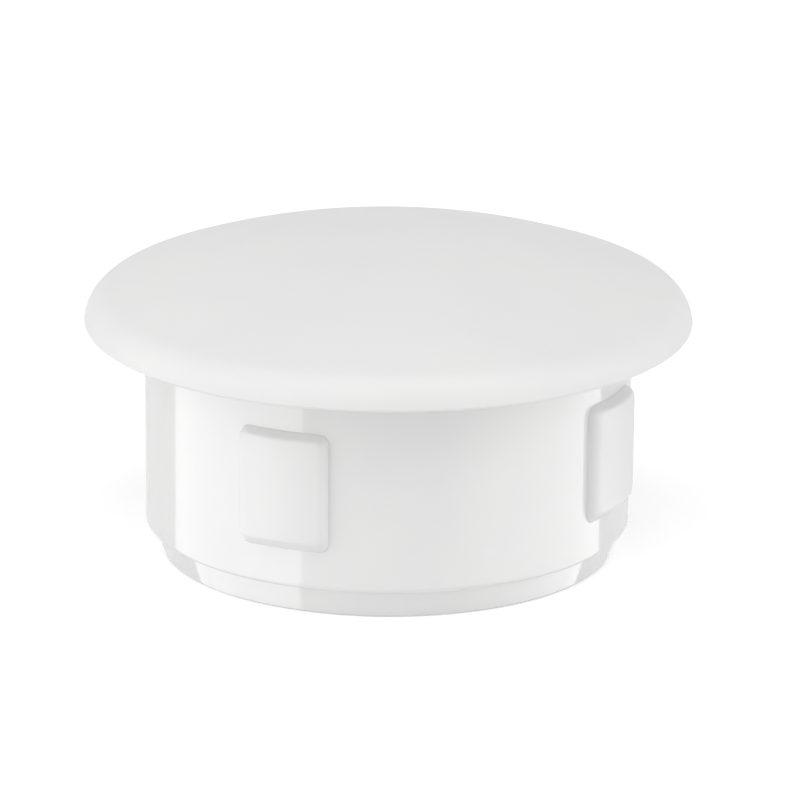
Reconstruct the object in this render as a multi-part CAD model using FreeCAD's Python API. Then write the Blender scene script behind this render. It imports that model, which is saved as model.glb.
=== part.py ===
import FreeCAD, Part
import math
import os

# Plastic hole plug in millimetres, one injection moulding.
# z = 0 is the foot that enters the hole first, and the Z axis runs up through the crown.
# The four grip pads sit on the X and Y axes.

os.makedirs("parts", exist_ok=True)

# Barrel, the plain shaft that fills the hole
barrel_diameter = 12.0
barrel_length = 5.10
barrel_draft = 0.3
barrel_edge_round = 0.18

# Lead-in ring under the barrel
ring_height = 0.71
ring_step = 0.19
ring_taper = 0.22
foot_round = 0.1

# Head
head_overhang = 1.5
head_rise = 2.14
head_edge_round = 0.87
head_thickness = 1.2
seat_root_bevel = 0.3

# Hollow
foot_width = 0.80
core_draw = 0.11
core_corner_bevel = 0.35
mouth_bevel = 0.08

# Grip pads
pad_count = 4
pad_proud = 0.31
pad_width = 2.36
pad_length = 3.02
pad_lead = 0.29
pad_back = 0.15
pad_round = 0.1
panel_gap = 1.09
land_gap = 0.06

# Sizes that follow
barrel_radius = barrel_diameter / 2
seat_height = ring_height + barrel_length
head_radius = barrel_radius + head_overhang
crown_height = seat_height + head_rise
pad_top = seat_height - panel_gap
pad_bottom = pad_top - pad_length
land_top = pad_bottom - land_gap
seat_radius = barrel_radius + (seat_height - land_top) * math.tan(math.radians(barrel_draft))
ring_top_radius = barrel_radius - ring_step
foot_radius = ring_top_radius - ring_taper
mouth_radius = foot_radius - foot_width

# The crown is part of a sphere that runs smoothly into the rolled edge.
roll_radius = head_radius - head_edge_round
crown_sphere = (roll_radius ** 2 + head_rise ** 2 - head_edge_round ** 2) / (2 * (head_rise - head_edge_round))
sphere_height = crown_height - crown_sphere
roll_angle = math.asin(roll_radius / (crown_sphere - head_edge_round))

# The hollow ends one head thickness below the crown, and narrows a little so that the core pulls out.
ceiling_sphere = crown_sphere - head_thickness
ceiling_height = crown_height - head_thickness
ceiling_centre = ceiling_height - ceiling_sphere
corner_radius = mouth_radius - core_draw
corner_angle = math.asin(corner_radius / ceiling_sphere)
corner_height = ceiling_centre + ceiling_sphere * math.cos(corner_angle)


def at(r, z):
    return FreeCAD.Vector(r, 0, z)


def line(a, b):
    return Part.makeLine(a, b)


def arc(centre_r, centre_z, radius, start, end):
    """Arc in the XZ plane, with its angles in radians up from the horizontal."""
    turn = [start, (start + end) / 2, end]
    points = [at(centre_r + radius * math.cos(t), centre_z + radius * math.sin(t)) for t in turn]
    return Part.Arc(points[0], points[1], points[2]).toShape()


def revolved(edges):
    face = Part.Face(Part.Wire(edges))
    return face.revolve(FreeCAD.Vector(0, 0, 0), FreeCAD.Vector(0, 0, 1), 360)


def circles(shape, radius, height):
    """The full circles of the shape that lie at this radius and height."""
    found = []
    for edge in shape.Edges:
        if edge.Degenerated or not isinstance(edge.Curve, Part.Circle):
            continue
        if abs(edge.Curve.Radius - radius) < 1e-4 and abs(edge.Curve.Center.z - height) < 1e-4:
            found.append(edge)
    return found


# One section turned about Z: crown, rolled edge, seat, drafted barrel over a plain land, ring, foot and hollow
quarter = math.pi / 2
crown = arc(0, sphere_height, crown_sphere, quarter, quarter - roll_angle)
roll = arc(roll_radius, seat_height, head_edge_round, quarter - roll_angle, 0)
outline = [
    at(head_radius, seat_height),
    at(seat_radius, seat_height),
    at(barrel_radius, land_top),
    at(barrel_radius, ring_height),
    at(ring_top_radius, ring_height),
    at(foot_radius, 0),
    at(mouth_radius, 0),
    at(corner_radius, corner_height),
]
straight = [line(a, b) for a, b in zip(outline, outline[1:])]
ceiling = arc(0, ceiling_centre, ceiling_sphere, quarter - corner_angle, quarter)
middle = line(at(0, ceiling_height), at(0, crown_height))
plug = revolved([crown, roll] + straight + [ceiling, middle])
plug = plug.makeFillet(barrel_edge_round, circles(plug, barrel_radius, ring_height))
plug = plug.makeFillet(foot_round, circles(plug, foot_radius, 0))
plug = plug.makeChamfer(seat_root_bevel, circles(plug, seat_radius, seat_height))
plug = plug.makeChamfer(mouth_bevel, circles(plug, mouth_radius, 0))
plug = plug.makeChamfer(core_corner_bevel, circles(plug, corner_radius, corner_height))

# Grip pad, a barrel-wide band with a lead-in below and a steeper back above, cut to the width of one pad
pad_radius = barrel_radius + pad_proud
pad_root = barrel_radius - foot_width / 2
depth = pad_radius - pad_root
root_bottom = pad_bottom + pad_lead - depth * pad_lead / pad_proud
root_top = pad_top - pad_back + depth * pad_back / pad_proud
pad_outline = [
    at(pad_root, root_bottom),
    at(pad_radius, pad_bottom + pad_lead),
    at(pad_radius, pad_top - pad_back),
    at(pad_root, root_top),
    at(pad_root, root_bottom),
]
band = revolved([line(a, b) for a, b in zip(pad_outline, pad_outline[1:])])
slot = Part.makeBox(pad_width, pad_radius + 1, seat_height)
slot.translate(FreeCAD.Vector(-pad_width / 2, -pad_radius - 1, 0))
pad = band.common(slot)
outer = []
for edge in pad.Edges:
    reach = [math.hypot(v.X, v.Y) for v in edge.Vertexes]
    if max(reach) > pad_radius - 1e-4:
        outer.append(edge)
pad = pad.makeFillet(pad_round, outer)
for number in range(pad_count):
    copy = pad.copy()
    copy.rotate(FreeCAD.Vector(0, 0, 0), FreeCAD.Vector(0, 0, 1), number * 360.0 / pad_count)
    plug = plug.fuse(copy)

plug.exportStep("parts/hole_plug.step")
print("hole_plug", len(plug.Solids), plug.isValid(), round(plug.Volume, 3))
print(plug.BoundBox)
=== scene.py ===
import math
import bmesh
import bpy
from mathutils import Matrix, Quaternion, Vector


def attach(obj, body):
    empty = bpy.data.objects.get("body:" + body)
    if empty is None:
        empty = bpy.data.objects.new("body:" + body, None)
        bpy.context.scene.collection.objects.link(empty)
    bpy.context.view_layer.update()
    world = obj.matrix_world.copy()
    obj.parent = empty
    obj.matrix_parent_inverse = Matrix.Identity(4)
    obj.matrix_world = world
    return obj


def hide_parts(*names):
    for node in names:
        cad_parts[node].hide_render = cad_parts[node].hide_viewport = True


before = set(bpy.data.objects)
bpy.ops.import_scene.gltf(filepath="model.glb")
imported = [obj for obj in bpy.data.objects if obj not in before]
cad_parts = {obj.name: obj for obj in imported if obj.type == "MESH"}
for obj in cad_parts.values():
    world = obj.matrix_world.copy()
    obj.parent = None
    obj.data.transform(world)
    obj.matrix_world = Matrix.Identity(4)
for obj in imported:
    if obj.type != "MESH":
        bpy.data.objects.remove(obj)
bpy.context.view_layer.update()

mm = 0.001  # the scene is in metres
nearby = 0.01 * mm  # points nearer than this are the same point


def deselectAll():
    bpy.ops.object.select_all(action="DESELECT")


# a point seen from the plug, azimuth in degrees from the -Y side and elevation from the floor
def around(azimuth, elevation, distance):
    a = math.radians(azimuth)
    e = math.radians(elevation)
    return Vector((math.sin(a) * math.cos(e), -math.cos(a) * math.cos(e), math.sin(e))) * distance


# Camera: a long lens, a little above the rim

view = {
    "azimuth": 24.75,
    "elevation": 18.60,
    "distance": 223.64 * mm,
    "lens": 405.0,
    "sensor": 36.0,
    "roll": 0.377,
    "aimRight": 0.300 * mm,
    "aimUp": 3.583 * mm,
    "nearest": 10.0 * mm,
}


def addCamera(v):
    place = around(v["azimuth"], v["elevation"], v["distance"])
    right = around(v["azimuth"] + 90, 0, 1)
    up = right.cross(-place.normalized())
    aim = right * v["aimRight"] + up * v["aimUp"]
    deselectAll()
    bpy.ops.object.camera_add(location=place)
    camera = bpy.context.object
    turn = (aim - place).to_track_quat("-Z", "Y") @ Quaternion((0, 0, 1), math.radians(v["roll"]))
    camera.rotation_euler = turn.to_euler()
    camera.data.lens = v["lens"]
    camera.data.sensor_width = v["sensor"]
    camera.data.clip_start = v["nearest"]
    bpy.context.scene.camera = camera


addCamera(view)
print("camera placed")

# The plug is one moulding: an edge ring is drawn from the ceiling of the hollow, down its wall,
# round the foot, up the lead ring and the barrel, out under the head and over the crown

plug = {
    "segments": 160,
    "crownHeight": 7.95 * mm,
    "headRadius": 7.5 * mm,
    "headEdgeRound": 0.87 * mm,
    "headThickness": 1.2 * mm,
    "seatHeight": 5.81 * mm,
    "rimBreak": 0.08 * mm,
    "rootRound": 0.3 * mm,
    "barrelTop": 6.02 * mm,
    "barrelRadius": 6.0 * mm,
    "barrelEdgeRound": 0.18 * mm,
    "ringHeight": 0.71 * mm,
    "ringRadius": 5.81 * mm,
    "ringShoulder": (5.80 * mm, 0.68 * mm),  # radius and height where its taper ends
    "footRadius": 5.59 * mm,
    "footRound": 0.1 * mm,
    "mouthRadius": 4.79 * mm,
    "mouthRound": 0.08 * mm,
    "hollowWall": ((4.69 * mm, 5.4 * mm), (4.73 * mm, 3.0 * mm)),  # radius and height, it widens downwards
    "ceilingRadius": 4.68 * mm,
    "ceilingRound": 0.35 * mm,
    "poleRadius": 0.25 * mm,  # where the rings of the ceiling start
    "crownEnd": 89.25,  # and where those of the crown end, in degrees
    "footEnd": 350,  # the foot's round ends on the taper of the lead ring
    "headEdgeStart": 6,  # the head's rolled edge starts above the small break of the rim
    "smoothAngle": 36,
}

# how many faces each arc of the section has
arcSteps = {
    "ceiling": 8,
    "ceilingRound": 5,
    "mouth": 4,
    "foot": 5,
    "barrelEdge": 14,
    "root": 5,
    "rimBreak": 4,
    "headEdge": 16,
    "crown": 22,
}

# how far beside an edge an extra ring keeps the face there flat
flatGap = {
    "barrelFoot": 0.06 * mm,
    "root": 0.05 * mm,
    "seat": 0.05 * mm,
}


# the barrel widens a little from the foot of the pads to their top
def wallRadius(height):
    share = (height - pad["bottom"]) / (pad["top"] - pad["bottom"])
    return plug["barrelRadius"] + (plug["barrelTop"] - plug["barrelRadius"]) * share


# rings along an arc of the section, the angles in degrees up from the horizontal
def arcRings(middleRadius, middleHeight, radius, start, end, steps):
    rings = []
    for i in range(steps + 1):
        t = math.radians(start + (end - start) * i / steps)
        rings.append((middleRadius + radius * math.cos(t), middleHeight + radius * math.sin(t)))
    return rings


# the dome's radius, which brings it smoothly into the rolled edge of the head
def crownRadius(p):
    rise = p["crownHeight"] - p["seatHeight"]
    roll = p["headRadius"] - p["headEdgeRound"]
    return (roll ** 2 + rise ** 2 - p["headEdgeRound"] ** 2) / (2 * (rise - p["headEdgeRound"]))


# where an arc with its middle on the plug's axis lies this far from it, in degrees up from the horizontal
def angleAt(radius, arcRadius):
    return math.degrees(math.acos(radius / arcRadius))


# the domed ceiling of the hollow, its wall and the round of its mouth
def hollowRings(p):
    crown = crownRadius(p)
    crownMiddle = p["crownHeight"] - crown
    ceiling = crown - p["headThickness"]
    bend = p["ceilingRound"]
    corner = p["ceilingRadius"] - bend
    cornerAngle = angleAt(corner, ceiling)
    cornerHeight = crownMiddle + ceiling * math.sin(math.radians(cornerAngle)) - bend
    poleAngle = angleAt(p["poleRadius"], ceiling)
    rings = arcRings(0, crownMiddle, ceiling, poleAngle, cornerAngle, arcSteps["ceiling"])
    rings += arcRings(corner, cornerHeight, bend, 75, 0, arcSteps["ceilingRound"])
    rings += p["hollowWall"]
    mouth = p["mouthRadius"] + p["mouthRound"]
    rings += arcRings(mouth, p["mouthRound"], p["mouthRound"], 180, 270, arcSteps["mouth"])
    return rings


# the foot, the lead ring and the barrel up to its root under the head
def barrelRings(p):
    foot = p["footRadius"] - p["footRound"]
    edge = p["barrelEdgeRound"]
    barrelFoot = p["ringHeight"] + edge
    root = p["seatHeight"] - p["rootRound"]
    rings = arcRings(foot, p["footRound"], p["footRound"], 270, p["footEnd"], arcSteps["foot"])
    rings += [p["ringShoulder"], (p["ringRadius"], p["ringHeight"])]
    rings += arcRings(p["barrelRadius"] - edge, barrelFoot, edge, 270, 360, arcSteps["barrelEdge"])
    rings += [(p["barrelRadius"], barrelFoot + flatGap["barrelFoot"])]
    padHeights = (pad["bottom"], pad["bottom"] + pad["corner"], pad["top"] - pad["corner"], pad["top"])
    rings += [(wallRadius(height), height) for height in padHeights]
    rings += [(p["barrelTop"], root - flatGap["root"])]
    rings += arcRings(p["barrelTop"] + p["rootRound"], root, p["rootRound"], 180, 90, arcSteps["root"])
    return rings


# the seat under the head, its rim, its rolled edge and the crown
def headRings(p):
    crown = crownRadius(p)
    roll = p["headRadius"] - p["headEdgeRound"]
    rollAngle = angleAt(roll, crown - p["headEdgeRound"])
    rim = p["headRadius"] - p["rimBreak"]
    rings = [(rim - flatGap["seat"], p["seatHeight"])]
    rings += arcRings(rim, p["seatHeight"] + p["rimBreak"], p["rimBreak"], 270, 360, arcSteps["rimBreak"])
    edge = p["headEdgeRound"]
    rings += arcRings(roll, p["seatHeight"], edge, p["headEdgeStart"], rollAngle, arcSteps["headEdge"])
    rings += arcRings(0, p["crownHeight"] - crown, crown, rollAngle, p["crownEnd"], arcSteps["crown"])[1:]
    return rings


# draws the selected edge ring out through all these rings, each a radius and a height
def drawRings(rings):
    radius, height = rings[0]
    for nextRadius, nextHeight in rings[1:]:
        bpy.ops.mesh.extrude_region_move(TRANSFORM_OT_translate={"value": (0, 0, nextHeight - height)})
        grow = nextRadius / radius
        bpy.ops.transform.resize(value=(grow, grow, 1), center_override=(0, 0, nextHeight))
        radius, height = nextRadius, nextHeight


def facesOutwards():
    bpy.ops.mesh.select_all(action="SELECT")
    bpy.ops.mesh.normals_make_consistent(inside=False)


def selectParts(piece, kind, wanted):
    bpy.ops.mesh.select_mode(type=kind)
    bpy.ops.mesh.select_all(action="DESELECT")
    mesh = bmesh.from_edit_mesh(piece.data)
    parts = {"VERT": mesh.verts, "EDGE": mesh.edges, "FACE": mesh.faces}[kind]
    for part in parts:
        if wanted(part):
            part.select_set(True)
    mesh.select_flush_mode()
    bmesh.update_edit_mesh(piece.data)


# Grip pads, four around the barrel, drawn out of its wall on the X and Y axes

pad = {
    "count": 4,
    "halfAngle": 11.25,  # a whole number of the barrel's faces
    "cornerAngle": 2.25,  # one of them
    "corner": 0.236 * mm,
    "cornerSteps": 4,
    "cornerShare": 0.85,  # faces of a corner cell within this share of its size are pad
    "bottom": 1.70 * mm,
    "top": 4.72 * mm,
    "proud": 0.31 * mm,
    "lead": 0.29 * mm,  # height of the slope at the foot
    "back": 0.15 * mm,  # and of the one at the top
    "wall": 0.05 * mm,  # polished foot of the sides
    "sideRound": 0.25 * mm,
    "endRound": 0.08 * mm,
    "roundSteps": 5,
}


def onWall(degrees, height):
    return around(degrees, 0, wallRadius(height)) + Vector((0, 0, height))


# cuts across one corner cell of a pad's outline and moves the cut out to an arc
def roundCorner(piece, degrees, way, height, up):
    steps = pad["cornerSteps"]
    inner = degrees + way * (pad["halfAngle"] - pad["cornerAngle"])
    innerHeight = height + up * pad["corner"]
    ends = [onWall(inner, height), onWall(degrees + way * pad["halfAngle"], innerHeight)]

    def atEnd(vertex):
        return min((vertex.co - end).length for end in ends) < nearby

    selectParts(piece, "VERT", atEnd)
    bpy.ops.mesh.vert_connect()
    selectParts(piece, "EDGE", lambda edge: all(atEnd(vertex) for vertex in edge.verts))
    bpy.ops.mesh.subdivide(number_cuts=steps - 1)
    for i in range(1, steps):
        t = math.radians(90 * i / steps)
        cut = ends[0].lerp(ends[1], i / steps)
        turned = inner + way * pad["cornerAngle"] * math.sin(t)
        place = onWall(turned, innerHeight - up * pad["corner"] * math.cos(t))
        selectParts(piece, "VERT", lambda vertex: (vertex.co - cut).length < nearby)
        bpy.ops.transform.translate(value=place - cut)


# how far a sloping end has moved in where the pad is this proud, with its upper edge rounded
def endInset(proud, run):
    slope = math.atan2(pad["proud"], run)
    left = pad["proud"] - proud
    if left > pad["endRound"] * (1 - math.cos(slope)):
        return proud / math.tan(slope)
    turn = math.acos(1 - left / pad["endRound"])
    return run + pad["endRound"] * (math.tan(slope / 2) - math.sin(turn))


# how proud each step of the pad stands, and how far its sides have moved in there
def padSteps():
    steps = [(pad["wall"], 0)]
    for i in range(pad["roundSteps"] + 1):
        t = math.radians(90 * i / pad["roundSteps"])
        proud = pad["proud"] - pad["sideRound"] * (1 - math.sin(t))
        steps.append((proud, pad["sideRound"] * (1 - math.cos(t))))
    return steps


def raisePad(piece, degrees):
    axis = around(degrees, 0, 1)
    side = around(degrees + 90, 0, 1)
    middle = (pad["bottom"] + pad["top"]) / 2
    innerHeight = (pad["top"] - pad["bottom"]) / 2 - pad["corner"]
    innerAngle = pad["halfAngle"] - pad["cornerAngle"]

    def inOutline(face):
        c = face.calc_center_median()
        if c.dot(axis) < plug["mouthRadius"] + pad["corner"] or c.xy.length < plug["footRadius"]:
            return False
        turned = abs(math.degrees(math.atan2(c.dot(side), c.dot(axis))))
        across = max(turned - innerAngle, 0) / pad["cornerAngle"]
        along = max(abs(c.z - middle) - innerHeight, 0) / pad["corner"]
        return math.hypot(across, along) < pad["cornerShare"]

    for way in (-1, 1):
        roundCorner(piece, degrees, way, pad["bottom"], 1)
        roundCorner(piece, degrees, way, pad["top"], -1)
    halfWidth = plug["barrelRadius"] * math.sin(math.radians(pad["halfAngle"]))
    proud, inset, low, high = 0, 0, pad["bottom"], pad["top"]
    selectParts(piece, "FACE", inOutline)
    for nextProud, nextInset in padSteps():
        nextLow = pad["bottom"] + endInset(nextProud, pad["lead"])
        nextHigh = pad["top"] - endInset(nextProud, pad["back"])
        bpy.ops.mesh.extrude_region_move(TRANSFORM_OT_translate={"value": axis * (nextProud - proud)})
        across = (halfWidth - nextInset) / (halfWidth - inset)
        along = (nextHigh - nextLow) / (high - low)
        still = (nextHigh - along * high) / (1 - along)  # the height that stays where it is
        grow = (1 - (1 - across) * abs(side.x), 1 - (1 - across) * abs(side.y), along)
        bpy.ops.transform.resize(value=grow, center_override=(0, 0, still))
        proud, inset, low, high = nextProud, nextInset, nextLow, nextHigh


def buildPlug(p):
    rings = hollowRings(p) + barrelRings(p) + headRings(p)
    start, height = rings[0]
    deselectAll()
    bpy.ops.mesh.primitive_circle_add(
        vertices=p["segments"], radius=start, fill_type="TRIFAN", location=(0, 0, height)
    )
    piece = bpy.context.object
    piece.name = "moulded_plug"
    bpy.ops.object.transform_apply(location=True, rotation=False, scale=False)
    bpy.ops.object.mode_set(mode="EDIT")
    bpy.ops.mesh.select_mode(type="EDGE")
    bpy.ops.mesh.select_all(action="DESELECT")
    bpy.ops.mesh.select_non_manifold()
    drawRings(rings)
    bpy.ops.mesh.edge_face_add()  # closes the crown
    bpy.ops.mesh.poke()
    facesOutwards()
    for number in range(pad["count"]):
        raisePad(piece, number * 360 / pad["count"])
    facesOutwards()
    bpy.ops.object.mode_set(mode="OBJECT")
    bpy.ops.object.shade_smooth_by_angle(angle=math.radians(p["smoothAngle"]))
    bpy.ops.object.modifier_add(type="WEIGHTED_NORMAL")
    piece.modifiers[0].keep_sharp = True
    bpy.ops.object.modifier_apply(modifier=piece.modifiers[0].name)
    return piece


piece = buildPlug(plug)
print("plug modelled", len(piece.data.polygons), "faces")

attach(piece, "root")
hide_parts("hole_plug")

# Plastic: one white resin, satin on the head and the pads, polished on the barrel, plain in the hollow

resin = {
    "colour": (0.80, 0.80, 0.795, 1),
    "deepColour": (0.785, 0.785, 0.785, 1),
    "index": 1.5,
    "reliefDepth": 0.02 * mm,
}
finishes = {
    "satin_head": {"rough": 0.46, "spread": 0.04, "gloss": 0.34, "grain": 11.0, "relief": 0.16},
    "polished_barrel": {"rough": 0.08, "spread": 0.03, "gloss": 0.62, "grain": 5.0, "relief": 0.02},
    "satin_pads": {"rough": 0.42, "spread": 0.05, "gloss": 0.6, "grain": 11.0, "relief": 0.10},
    "plain_hollow": {"rough": 0.50, "spread": 0.06, "gloss": 0.4, "grain": 7.0, "relief": 0.12},
}

# the grain the mould leaves, slow clouds in the resin and faint handling marks, in cells per mm
mouldMarks = {
    "grain": {"Detail": 2.5, "Roughness": 0.55},
    "cloud": {"Scale": 0.35, "Detail": 2},
    "rub": {"Scale": 1.4, "Detail": 4, "Distortion": 0.6},
    "cloudRange": (0.35, 0.65),
    "rubRange": (0.3, 0.7),
}


def addNoise(tree, place, settings):
    noise = tree.nodes.new("ShaderNodeTexNoise")
    for socket, value in settings.items():
        noise.inputs[socket].default_value = value
    tree.links.new(place, noise.inputs["Vector"])
    return noise


# spreads the part of a value between two limits over 0 to 1
def spreadOut(tree, value, limits):
    wide = tree.nodes.new("ShaderNodeMapRange")
    wide.inputs["From Min"].default_value = limits[0]
    wide.inputs["From Max"].default_value = limits[1]
    tree.links.new(value, wide.inputs["Value"])
    return wide.outputs["Result"]


# shared by every finish
def mouldGrainGroup():
    group = bpy.data.node_groups.new("mould_grain", "ShaderNodeTree")
    group.interface.new_socket("Place", in_out="INPUT", socket_type="NodeSocketVector")
    group.interface.new_socket("Grain per mm", in_out="INPUT", socket_type="NodeSocketFloat")
    for name in ("Grain", "Cloud", "Rub"):
        group.interface.new_socket(name, in_out="OUTPUT", socket_type="NodeSocketFloat")
    given = group.nodes.new("NodeGroupInput")
    result = group.nodes.new("NodeGroupOutput")
    inMm = group.nodes.new("ShaderNodeVectorMath")
    inMm.operation = "SCALE"
    inMm.inputs["Scale"].default_value = 1 / mm
    group.links.new(given.outputs["Place"], inMm.inputs[0])

    grain = addNoise(group, inMm.outputs[0], mouldMarks["grain"])
    group.links.new(given.outputs["Grain per mm"], grain.inputs["Scale"])
    group.links.new(grain.outputs["Fac"], result.inputs["Grain"])
    cloud = addNoise(group, inMm.outputs[0], mouldMarks["cloud"])
    cloudy = spreadOut(group, cloud.outputs["Fac"], mouldMarks["cloudRange"])
    group.links.new(cloudy, result.inputs["Cloud"])
    rub = addNoise(group, inMm.outputs[0], mouldMarks["rub"])
    rubbed = spreadOut(group, rub.outputs["Fac"], mouldMarks["rubRange"])
    group.links.new(rubbed, result.inputs["Rub"])
    return group


mouldGrain = mouldGrainGroup()


def finishMaterial(name, finish):
    material = bpy.data.materials.new(name)
    material.use_nodes = True
    nodes = material.node_tree.nodes
    links = material.node_tree.links
    shader = nodes["Principled BSDF"]
    shader.inputs["IOR"].default_value = resin["index"]
    shader.inputs["Specular IOR Level"].default_value = finish["gloss"]
    place = nodes.new("ShaderNodeTexCoord")
    grain = nodes.new("ShaderNodeGroup")
    grain.node_tree = mouldGrain
    grain.inputs["Grain per mm"].default_value = finish["grain"]
    links.new(place.outputs["Object"], grain.inputs["Place"])

    colour = nodes.new("ShaderNodeMix")
    colour.data_type = "RGBA"
    colour.inputs["A"].default_value = resin["deepColour"]
    colour.inputs["B"].default_value = resin["colour"]
    links.new(grain.outputs["Cloud"], colour.inputs["Factor"])
    links.new(colour.outputs["Result"], shader.inputs["Base Color"])

    rough = nodes.new("ShaderNodeMapRange")
    rough.inputs["To Min"].default_value = finish["rough"] - finish["spread"]
    rough.inputs["To Max"].default_value = finish["rough"] + finish["spread"]
    links.new(grain.outputs["Rub"], rough.inputs["Value"])
    links.new(rough.outputs["Result"], shader.inputs["Roughness"])

    relief = nodes.new("ShaderNodeBump")
    relief.inputs["Strength"].default_value = finish["relief"]
    relief.inputs["Distance"].default_value = resin["reliefDepth"]
    links.new(grain.outputs["Grain"], relief.inputs["Height"])
    links.new(relief.outputs["Normal"], shader.inputs["Normal"])
    return material


hair = 0.001 * mm  # slack for faces that lie on a limit


# which finish a face of the plug has, by where it lies
def finishName(polygon):
    c = polygon.center
    radius = c.xy.length
    aboveSeat = c.z > plug["seatHeight"] + hair
    onRim = radius > plug["barrelTop"] and polygon.normal.z > -0.95  # not the seat, which faces down
    if aboveSeat and (onRim or polygon.normal.z > 0):
        return "satin_head"
    if radius < plug["mouthRadius"] + hair:
        return "plain_hollow"
    if radius > wallRadius(c.z) + pad["wall"] and pad["bottom"] < c.z < pad["top"]:
        return "satin_pads"
    return "polished_barrel"


finishNames = list(finishes)
for name in finishNames:
    piece.data.materials.append(finishMaterial(name, finishes[name]))
for polygon in piece.data.polygons:
    polygon.material_index = finishNames.index(finishName(polygon))
print("plastic applied")

# Floor: pale and plain, near white to the camera, with the plug's soft shadow

floorSet = {"size": 0.9, "grey": 0.95, "lift": 0.30}


# matt grey paint that can glow white
def mattPaint(name, grey, glow):
    material = bpy.data.materials.new(name)
    material.use_nodes = True
    paint = material.node_tree.nodes["Principled BSDF"]
    paint.inputs["Base Color"].default_value = (grey, grey, grey, 1)
    paint.inputs["Roughness"].default_value = 0.9
    paint.inputs["Specular IOR Level"].default_value = 0.0
    paint.inputs["Emission Color"].default_value = (1, 1, 1, 1)
    paint.inputs["Emission Strength"].default_value = glow
    return material


# only the camera sees the lift, so it puts no light on the plug
def floorPaint():
    material = mattPaint("pale_floor", floorSet["grey"], 0)
    nodes = material.node_tree.nodes
    links = material.node_tree.links
    eye = nodes.new("ShaderNodeLightPath")
    lift = nodes.new("ShaderNodeMath")
    lift.operation = "MULTIPLY"
    lift.inputs[1].default_value = floorSet["lift"]
    links.new(eye.outputs["Is Camera Ray"], lift.inputs[0])
    links.new(lift.outputs[0], nodes["Principled BSDF"].inputs["Emission Strength"])
    return material


def addFloor():
    deselectAll()
    bpy.ops.mesh.primitive_plane_add(size=floorSet["size"], location=(0, 0, 0))
    floor = bpy.context.object
    floor.name = "floor"
    floor.data.materials.append(floorPaint())
    floor.visible_glossy = False  # the polish reflects what stands round the table instead


addFloor()

# Cards: a plain one on each side behind the plug and a low one between, which the camera doesn't see
# and the polish reflects

backCards = {
    "distance": 0.60,
    "grey": 0.85,
    "glow": 0.35,
    "cards": (  # azimuth from the camera's side, and how far the middle lies below the table top
        {"azimuth": -140.0, "width": 0.56, "height": 1.22, "drop": 0.52},
        {"azimuth": 140.0, "width": 0.56, "height": 1.22, "drop": 0.52},
        {"azimuth": 180.0, "width": 0.36, "height": 0.20, "drop": 0.04},
    ),
}


def addCard(shape, paint):
    place = around(view["azimuth"] + shape["azimuth"], 0, backCards["distance"])
    deselectAll()
    bpy.ops.mesh.primitive_plane_add(size=1, location=place - Vector((0, 0, shape["drop"])))
    card = bpy.context.object
    card.name = "back_card"
    card.scale = (shape["width"], shape["height"], 1)
    card.rotation_euler = (-place).to_track_quat("Z", "Y").to_euler()
    bpy.ops.object.transform_apply(location=False, rotation=False, scale=True)
    card.data.materials.append(paint)
    card.visible_camera = False
    card.visible_diffuse = False
    card.visible_shadow = False


cardPaint = mattPaint("card_paint", backCards["grey"], backCards["glow"])
for shape in backCards["cards"]:
    addCard(shape, cardPaint)
print("floor and cards placed")

# Light: a tall soft box on each side that reaches below the table top, and one above, in a white room.
# Azimuth is from the camera's side, lean is a turn about the box's own middle, fade dims one side

room = {"ambient": 0.33, "white": 1.0}
leftBox = {
    "azimuth": -80.0,
    "elevation": 0.0,
    "distance": 0.30,
    "width": 0.463,
    "height": 0.85,
    "drop": 0.125,
    "lean": -22.0,
    "radiance": 1.76,
    "fade": 0.18,
}
rightBox = {
    "azimuth": 74.0,
    "elevation": 0.0,
    "distance": 0.30,
    "width": 0.540,
    "height": 0.85,
    "drop": 0.14,
    "lean": 30.0,
    "radiance": 1.96,
    "fade": 1.0,
}
topBox = {
    "azimuth": 0.0,
    "elevation": 72.0,
    "distance": 0.35,
    "width": 0.45,
    "height": 0.45,
    "drop": 0.0,
    "lean": 0.0,
    "radiance": 0.97,
    "fade": 0.0,
}


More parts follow.
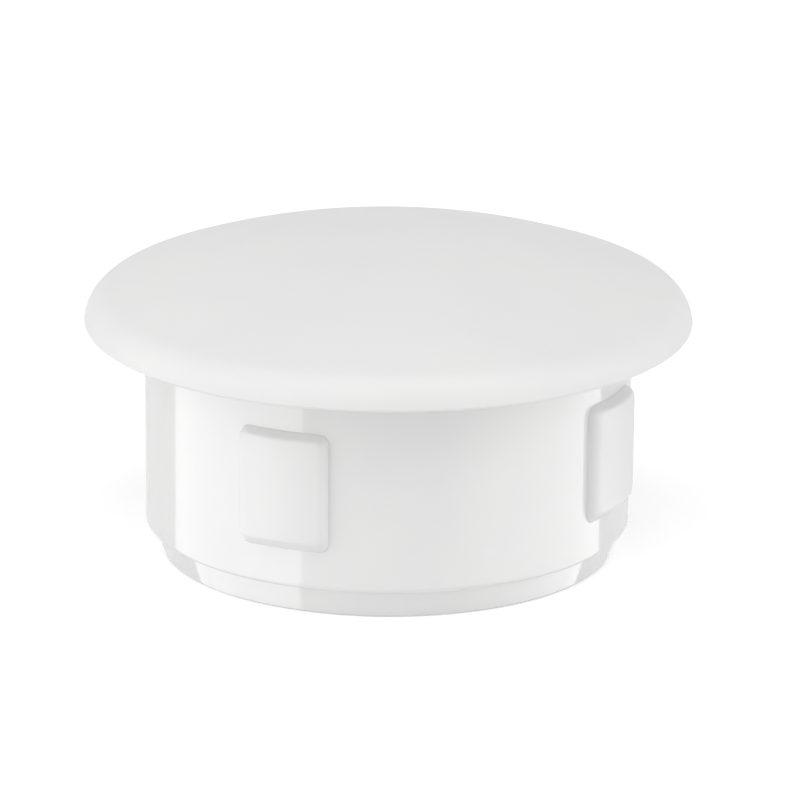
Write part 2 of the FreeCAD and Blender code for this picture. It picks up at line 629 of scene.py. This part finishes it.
# dims a soft box smoothly towards one side
def fadeBox(lamp, fade):
    lamp.data.use_nodes = True
    nodes = lamp.data.node_tree.nodes
    links = lamp.data.node_tree.links
    place = nodes.new("ShaderNodeNewGeometry")
    split = nodes.new("ShaderNodeSeparateXYZ")
    level = nodes.new("ShaderNodeMapRange")
    level.inputs["To Min"].default_value = 1 - fade
    links.new(place.outputs["Parametric"], split.inputs[0])
    links.new(split.outputs["X"], level.inputs["Value"])
    links.new(level.outputs["Result"], nodes["Emission"].inputs["Strength"])


def addSoftBox(name, box):
    place = around(view["azimuth"] + box["azimuth"], box["elevation"], box["distance"])
    deselectAll()
    bpy.ops.object.light_add(type="AREA", location=place - Vector((0, 0, box["drop"])))
    lamp = bpy.context.object
    lamp.name = name
    turn = (-place).to_track_quat("-Z", "Y") @ Quaternion((0, 0, 1), math.radians(box["lean"]))
    lamp.rotation_euler = turn.to_euler()
    lamp.data.shape = "RECTANGLE"
    lamp.data.size = box["width"]
    lamp.data.size_y = box["height"]
    lamp.data.energy = box["radiance"] * math.pi * box["width"] * box["height"]
    lamp.visible_camera = False
    if box["fade"] > 0:
        fadeBox(lamp, box["fade"])


addSoftBox("left_box", leftBox)
addSoftBox("right_box", rightBox)
addSoftBox("top_box", topBox)


# full white to the camera and in reflections, and a plain level as light
def whiteRoom():
    world = bpy.data.worlds.new("white_room")
    bpy.context.scene.world = world
    world.use_nodes = True
    nodes = world.node_tree.nodes
    links = world.node_tree.links
    sky = nodes["Background"]
    sky.inputs["Color"].default_value = (1, 1, 1, 1)
    eye = nodes.new("ShaderNodeLightPath")
    seen = eye.outputs["Is Camera Ray"]
    for ray in ("Is Glossy Ray", "Is Transmission Ray"):
        either = nodes.new("ShaderNodeMath")
        either.operation = "MAXIMUM"
        links.new(seen, either.inputs[0])
        links.new(eye.outputs[ray], either.inputs[1])
        seen = either.outputs[0]
    level = nodes.new("ShaderNodeMapRange")
    level.inputs["To Min"].default_value = room["ambient"]
    level.inputs["To Max"].default_value = room["white"]
    links.new(seen, level.inputs["Value"])
    links.new(level.outputs["Result"], sky.inputs["Strength"])


whiteRoom()
bpy.context.scene.view_settings.view_transform = "Standard"
print("light set")
